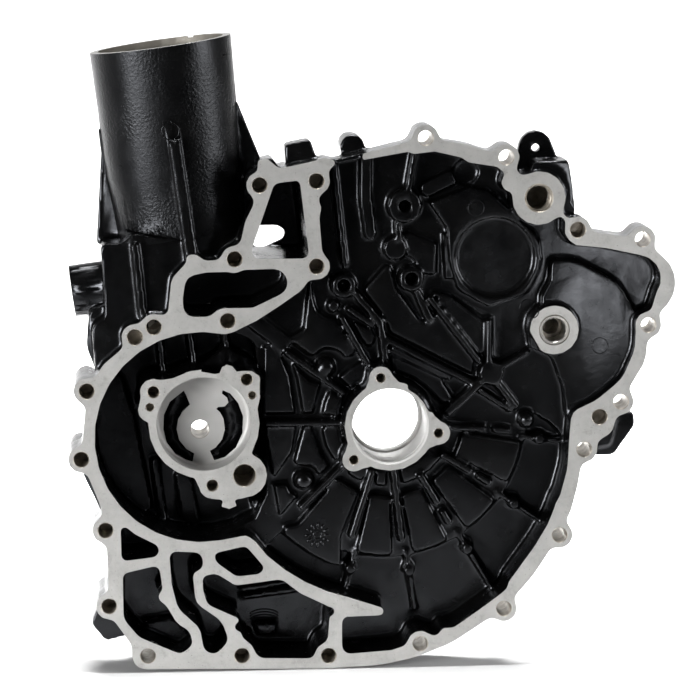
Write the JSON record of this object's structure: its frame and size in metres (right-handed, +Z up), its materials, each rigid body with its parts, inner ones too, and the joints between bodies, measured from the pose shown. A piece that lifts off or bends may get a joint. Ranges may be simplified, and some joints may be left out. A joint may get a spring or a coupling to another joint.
{
  "type": "engine cover",
  "caption": "Cast aluminium engine side cover for a power take-off: machined joint face, bolt bosses, ribbed floor, crank bore, oil pump housing, filler tube and a pressed bush.",
  "frame": {"origin": "on the crank bore's axis, in the plane of the joint face", "axes": "-Y points out of the joint face towards the engine, +Z is up as fitted, +X is to the right seen from the joint side"},
  "size_m": [0.3404, 0.0811, 0.3548],
  "materials": {
    "black_paint": "semi-gloss black paint over die-cast aluminium, with bright machined faces",
    "ground_steel": "ground steel"
  },
  "bodies": {
    "root": {"cover_casting": "black_paint", "idler_shaft_bush": "ground_steel"}
  },
  "joints": []
}
